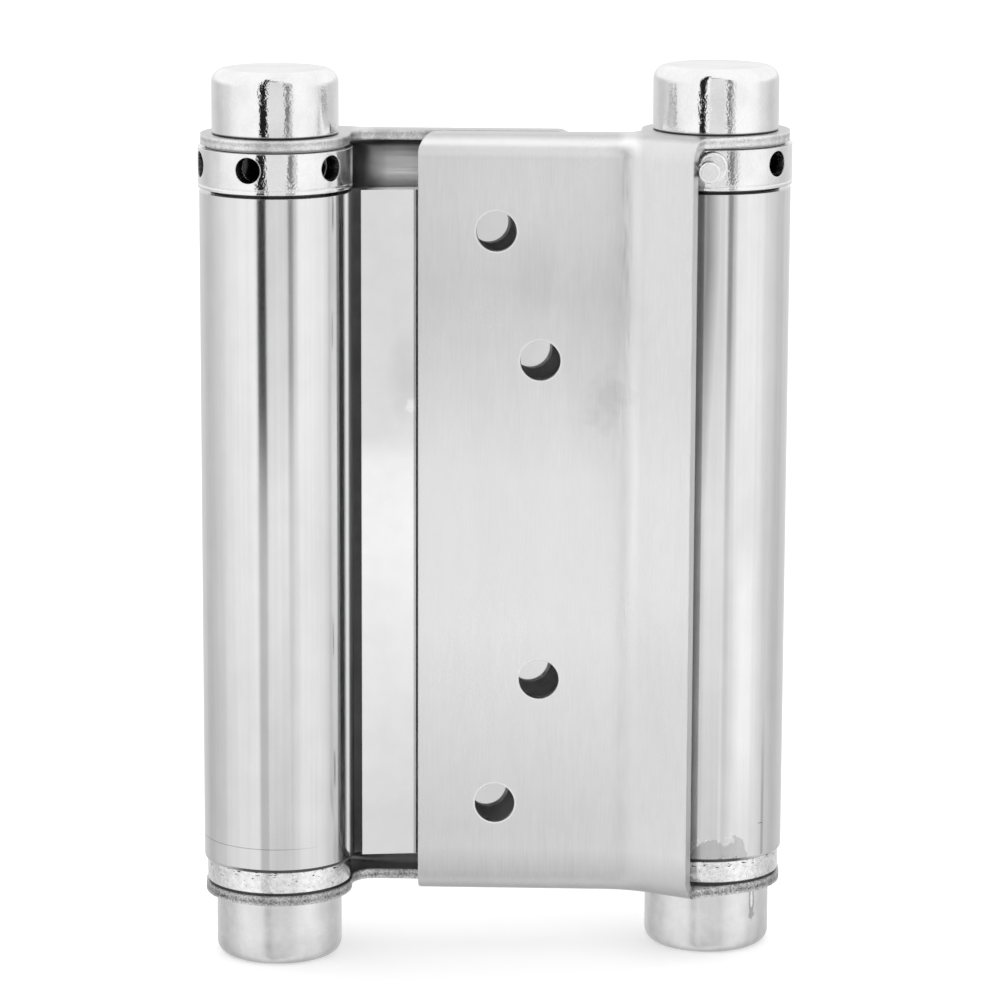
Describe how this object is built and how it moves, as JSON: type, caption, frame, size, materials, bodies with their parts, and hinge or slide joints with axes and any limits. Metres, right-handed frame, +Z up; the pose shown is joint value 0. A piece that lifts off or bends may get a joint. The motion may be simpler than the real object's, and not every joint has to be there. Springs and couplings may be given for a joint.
{
  "type": "double action spring hinge",
  "caption": "Upright double action spring hinge: a leaf on each side of a web that joins two sprung barrels, with tension collars, stop pins and round end caps.",
  "frame": {"origin": "centre of the bounding box's underside, on the floor plane under the web's middle", "axes": "+X along the closed leaves toward the right-hand barrel, +Y through the leaves toward the back leaf's outer face, +Z up along the spindles"},
  "size_m": [0.0764, 0.028, 0.1169],
  "materials": {
    "leaf_steel": "stainless sheet brushed along its height, satin",
    "barrel_steel": "stainless sheet polished nearly to a mirror",
    "collar_chrome": "bright chrome plate over a slightly pitted casting",
    "pin_chrome": "bright chrome plate",
    "top_cap_chrome": "bright chrome plate over a slightly pitted casting",
    "plug_chrome": "chrome plate, pitted",
    "bottom_cap_satin": "satin plated steel",
    "spindle_steel": "bright drawn rod",
    "spring_steel": "oiled spring wire",
    "washer_steel": "plain punched steel"
  },
  "bodies": {
    "back_leaf": {"back_leaf": "leaf_steel", "left_spindle": "spindle_steel", "left_top_cap": "top_cap_chrome", "left_bottom_cap": "bottom_cap_satin", "left_upper_washer": "washer_steel", "left_lower_washer": "washer_steel"},
    "web": {"left_barrel": "barrel_steel", "right_barrel": "barrel_steel", "left_plug": "plug_chrome", "right_plug": "plug_chrome", "left_spring": "spring_steel", "right_spring": "spring_steel"},
    "front_leaf": {"front_leaf": "leaf_steel", "right_spindle": "spindle_steel", "right_top_cap": "top_cap_chrome", "right_bottom_cap": "bottom_cap_satin", "right_upper_washer": "washer_steel", "right_lower_washer": "washer_steel"},
    "left_collar": {"left_collar": "collar_chrome", "left_stop_pin": "pin_chrome"},
    "right_collar": {"right_collar": "collar_chrome", "right_stop_pin": "pin_chrome"}
  },
  "joints": [
    {"name": "web_swing", "type": "hinge", "parent": "back_leaf", "child": "web", "pos_m": [-0.02821, -0.00407, 0.0586], "axis": [0, 0, -1], "range_deg": [0, 180], "stiffness_Nm_per_rad": 0.6, "springref_deg": -45.84, "deforming": ["left_spring"]},
    {"name": "door_leaf_swing", "type": "hinge", "parent": "web", "child": "front_leaf", "pos_m": [0.02821, 0.00407, 0.0586], "axis": [0, 0, 1], "range_deg": [0, 180], "stiffness_Nm_per_rad": 0.6, "springref_deg": -45.84, "deforming": ["right_spring"]},
    {"name": "left_collar_turn", "type": "hinge", "parent": "back_leaf", "child": "left_collar", "pos_m": [-0.02821, -0.00407, 0.104], "axis": [0, 0, 1], "range_deg": [0, 240], "stiffness_Nm_per_rad": 0.6, "springref_deg": -45.84, "deforming": ["left_spring"]},
    {"name": "right_collar_turn", "type": "hinge", "parent": "front_leaf", "child": "right_collar", "pos_m": [0.02821, 0.00407, 0.104], "axis": [0, 0, 1], "range_deg": [0, 240], "stiffness_Nm_per_rad": 0.6, "springref_deg": -45.84, "deforming": ["right_spring"]}
  ]
}
